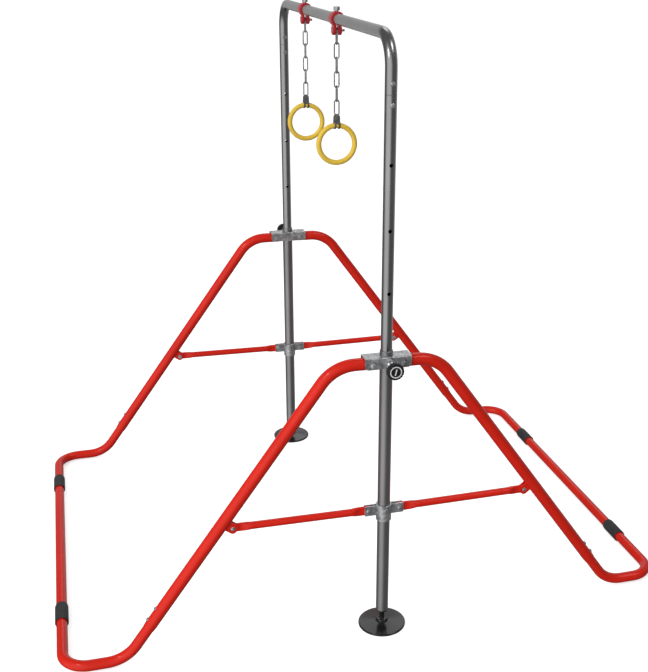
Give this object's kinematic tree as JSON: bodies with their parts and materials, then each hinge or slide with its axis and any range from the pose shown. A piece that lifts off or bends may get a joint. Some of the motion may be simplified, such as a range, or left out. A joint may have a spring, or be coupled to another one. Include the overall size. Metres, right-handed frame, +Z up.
{
  "type": "gymnastic rings frame",
  "caption": "Child's gymnastic frame: a height-adjustable bar on two posts with folding tube legs and floor bars, and a pair of hand rings hung on chains.",
  "frame": {"origin": "on the floor, midway between the two posts", "axes": "+X along the top bar to the right post, +Y from the front legs to the back legs, +Z up"},
  "size_m": [1.3402, 1.6586, 1.5299],
  "materials": {
    "bar_steel": "polished",
    "post_steel": "satin",
    "zinc": "zinc plated",
    "chain_steel": "dark plated",
    "red_paint": "gloss powder coat",
    "black_plastic": "satin",
    "rubber": "matte",
    "yellow_plastic": "semi-gloss"
  },
  "bodies": {
    "root": {"right_post": "post_steel", "right_foot": "black_plastic", "right_bracket": "zinc", "right_pin_housing": "zinc", "right_front_pivot_bolt": "zinc", "right_back_pivot_bolt": "zinc", "left_post": "post_steel", "left_foot": "black_plastic", "left_bracket": "zinc", "left_pin_housing": "zinc", "left_front_pivot_bolt": "zinc", "left_back_pivot_bolt": "zinc"},
    "top_frame": {"top_bar": "bar_steel", "right_extension": "bar_steel", "right_upper_joint_bolt": "zinc", "right_lower_joint_bolt": "zinc", "right_ring_clamp": "red_paint", "right_clamp_screw": "zinc", "right_clamp_bolt": "zinc", "left_extension": "bar_steel", "left_upper_joint_bolt": "zinc", "left_lower_joint_bolt": "zinc", "left_ring_clamp": "red_paint", "left_clamp_screw": "zinc", "left_clamp_bolt": "zinc"},
    "right_knob": {"right_lock_knob": "black_plastic"},
    "right_collar": {"right_collar": "zinc"},
    "right_front_brace": {"right_front_brace": "red_paint"},
    "front_legs": {"right_front_leg": "red_paint", "front_right_sleeve": "rubber", "left_front_leg": "red_paint", "front_left_sleeve": "rubber", "front_floor_bar": "red_paint"},
    "right_back_brace": {"right_back_brace": "red_paint"},
    "back_legs": {"right_back_leg": "red_paint", "back_right_sleeve": "rubber", "left_back_leg": "red_paint", "back_left_sleeve": "rubber", "back_floor_bar": "red_paint"},
    "right_link_1": {"right_link_1": "chain_steel"},
    "right_link_2": {"right_link_2": "chain_steel"},
    "right_link_3": {"right_link_3": "chain_steel"},
    "right_link_4": {"right_link_4": "chain_steel"},
    "right_link_5": {"right_link_5": "chain_steel"},
    "right_link_6": {"right_link_6": "chain_steel"},
    "right_hanger": {"right_hanger": "chain_steel"},
    "right_ring": {"right_ring": "yellow_plastic"},
    "left_knob": {"left_lock_knob": "black_plastic"},
    "left_collar": {"left_collar": "zinc"},
    "left_front_brace": {"left_front_brace": "red_paint"},
    "left_back_brace": {"left_back_brace": "red_paint"},
    "left_link_1": {"left_link_1": "chain_steel"},
    "left_link_2": {"left_link_2": "chain_steel"},
    "left_link_3": {"left_link_3": "chain_steel"},
    "left_link_4": {"left_link_4": "chain_steel"},
    "left_link_5": {"left_link_5": "chain_steel"},
    "left_link_6": {"left_link_6": "chain_steel"},
    "left_hanger": {"left_hanger": "chain_steel"},
    "left_ring": {"left_ring": "yellow_plastic"}
  },
  "joints": [
    {"name": "height_slide", "type": "slide", "parent": "root", "child": "top_frame", "axis": [0, 0, -1], "range_m": [0, 0.47]},
    {"name": "right_knob_pull", "type": "slide", "parent": "root", "child": "right_knob", "axis": [1, 0, 0], "range_m": [0, 0.008], "stiffness_N_per_m": 600, "springref_m": -0.004},
    {"name": "left_knob_pull", "type": "slide", "parent": "root", "child": "left_knob", "axis": [-1, 0, 0], "range_m": [0, 0.008], "stiffness_N_per_m": 600, "springref_m": -0.004},
    {"name": "right_collar_slide", "type": "slide", "parent": "root", "child": "right_collar", "axis": [0, 0, 1], "range_m": [0, 0.21598]},
    {"name": "right_front_brace_hinge", "type": "hinge", "parent": "right_collar", "child": "right_front_brace", "pos_m": [0.588, -0.041, 0.347], "axis": [1, 0, 0], "range_deg": [0, 83.31]},
    {"name": "right_back_brace_hinge", "type": "hinge", "parent": "right_collar", "child": "right_back_brace", "pos_m": [0.588, 0.041, 0.347], "axis": [-1, 0, 0], "range_deg": [0, 83.3]},
    {"name": "left_collar_slide", "type": "slide", "parent": "root", "child": "left_collar", "axis": [0, 0, 1], "range_m": [0, 0.21598]},
    {"name": "left_front_brace_hinge", "type": "hinge", "parent": "left_collar", "child": "left_front_brace", "pos_m": [-0.588, -0.041, 0.347], "axis": [1, 0, 0], "range_deg": [0, 83.31]},
    {"name": "left_back_brace_hinge", "type": "hinge", "parent": "left_collar", "child": "left_back_brace", "pos_m": [-0.588, 0.041, 0.347], "axis": [-1, 0, 0], "range_deg": [0, 83.31]},
    {"name": "front_leg_hinge", "type": "hinge", "parent": "right_front_brace", "child": "front_legs", "pos_m": [0.588, -0.38405, 0.35], "axis": [-1, 0, 0], "range_deg": [0, 47.31]},
    {"name": "back_leg_hinge", "type": "hinge", "parent": "right_back_brace", "child": "back_legs", "pos_m": [0.588, 0.38405, 0.35], "axis": [1, 0, 0], "range_deg": [0, 47.31]},
    {"name": "right_link_1_swing", "type": "hinge", "parent": "top_frame", "child": "right_link_1", "pos_m": [0.102, 0, 1.472], "axis": [0, 1, 0], "range_deg": [-30, 30]},
    {"name": "right_link_2_swing", "type": "hinge", "parent": "right_link_1", "child": "right_link_2", "pos_m": [0.102, 0, 1.4375], "axis": [1, 0, 0], "range_deg": [-20, 20]},
    {"name": "right_link_3_swing", "type": "hinge", "parent": "right_link_2", "child": "right_link_3", "pos_m": [0.102, 0, 1.4014], "axis": [0, 1, 0], "range_deg": [-10, 10]},
    {"name": "right_link_4_swing", "type": "hinge", "parent": "right_link_3", "child": "right_link_4", "pos_m": [0.102, 0, 1.3653], "axis": [1, 0, 0], "range_deg": [-20, 20]},
    {"name": "right_link_5_swing", "type": "hinge", "parent": "right_link_4", "child": "right_link_5", "pos_m": [0.102, 0, 1.3292], "axis": [0, 1, 0], "range_deg": [-10, 10]},
    {"name": "right_link_6_swing", "type": "hinge", "parent": "right_link_5", "child": "right_link_6", "pos_m": [0.102, 0, 1.2931], "axis": [1, 0, 0], "range_deg": [-20, 20]},
    {"name": "right_hanger_swing", "type": "hinge", "parent": "right_link_6", "child": "right_hanger", "pos_m": [0.102, 0, 1.257], "axis": [0, 1, 0], "range_deg": [-15, 15]},
    {"name": "right_ring_swing", "type": "hinge", "parent": "right_hanger", "child": "right_ring", "pos_m": [0.102, 0, 1.2315], "axis": [0, 1, 0], "range_deg": [-30, 30]},
    {"name": "left_link_1_swing", "type": "hinge", "parent": "top_frame", "child": "left_link_1", "pos_m": [-0.272, 0, 1.472], "axis": [0, 1, 0], "range_deg": [-30, 30]},
    {"name": "left_link_2_swing", "type": "hinge", "parent": "left_link_1", "child": "left_link_2", "pos_m": [-0.272, 0, 1.4375], "axis": [1, 0, 0], "range_deg": [-20, 20]},
    {"name": "left_link_3_swing", "type": "hinge", "parent": "left_link_2", "child": "left_link_3", "pos_m": [-0.272, 0, 1.4014], "axis": [0, 1, 0], "range_deg": [-10, 10]},
    {"name": "left_link_4_swing", "type": "hinge", "parent": "left_link_3", "child": "left_link_4", "pos_m": [-0.272, 0, 1.3653], "axis": [1, 0, 0], "range_deg": [-20, 20]},
    {"name": "left_link_5_swing", "type": "hinge", "parent": "left_link_4", "child": "left_link_5", "pos_m": [-0.272, 0, 1.3292], "axis": [0, 1, 0], "range_deg": [-10, 10]},
    {"name": "left_link_6_swing", "type": "hinge", "parent": "left_link_5", "child": "left_link_6", "pos_m": [-0.272, 0, 1.2931], "axis": [1, 0, 0], "range_deg": [-20, 20]},
    {"name": "left_hanger_swing", "type": "hinge", "parent": "left_link_6", "child": "left_hanger", "pos_m": [-0.272, 0, 1.257], "axis": [0, 1, 0], "range_deg": [-15, 15]},
    {"name": "left_ring_swing", "type": "hinge", "parent": "left_hanger", "child": "left_ring", "pos_m": [-0.272, 0, 1.2315], "axis": [0, 1, 0], "range_deg": [-30, 30]}
  ],
  "couplings": [
    {"joint": "right_collar_slide", "follows": "right_back_brace_hinge", "m_per_rad": 0.14855},
    {"joint": "right_front_brace_hinge", "follows": "right_back_brace_hinge", "ratio": 1},
    {"joint": "left_collar_slide", "follows": "right_back_brace_hinge", "m_per_rad": 0.14855},
    {"joint": "left_front_brace_hinge", "follows": "right_back_brace_hinge", "ratio": 1},
    {"joint": "left_back_brace_hinge", "follows": "right_back_brace_hinge", "ratio": 1},
    {"joint": "front_leg_hinge", "follows": "right_back_brace_hinge", "ratio": 0.56781},
    {"joint": "back_leg_hinge", "follows": "right_back_brace_hinge", "ratio": 0.56781}
  ]
}
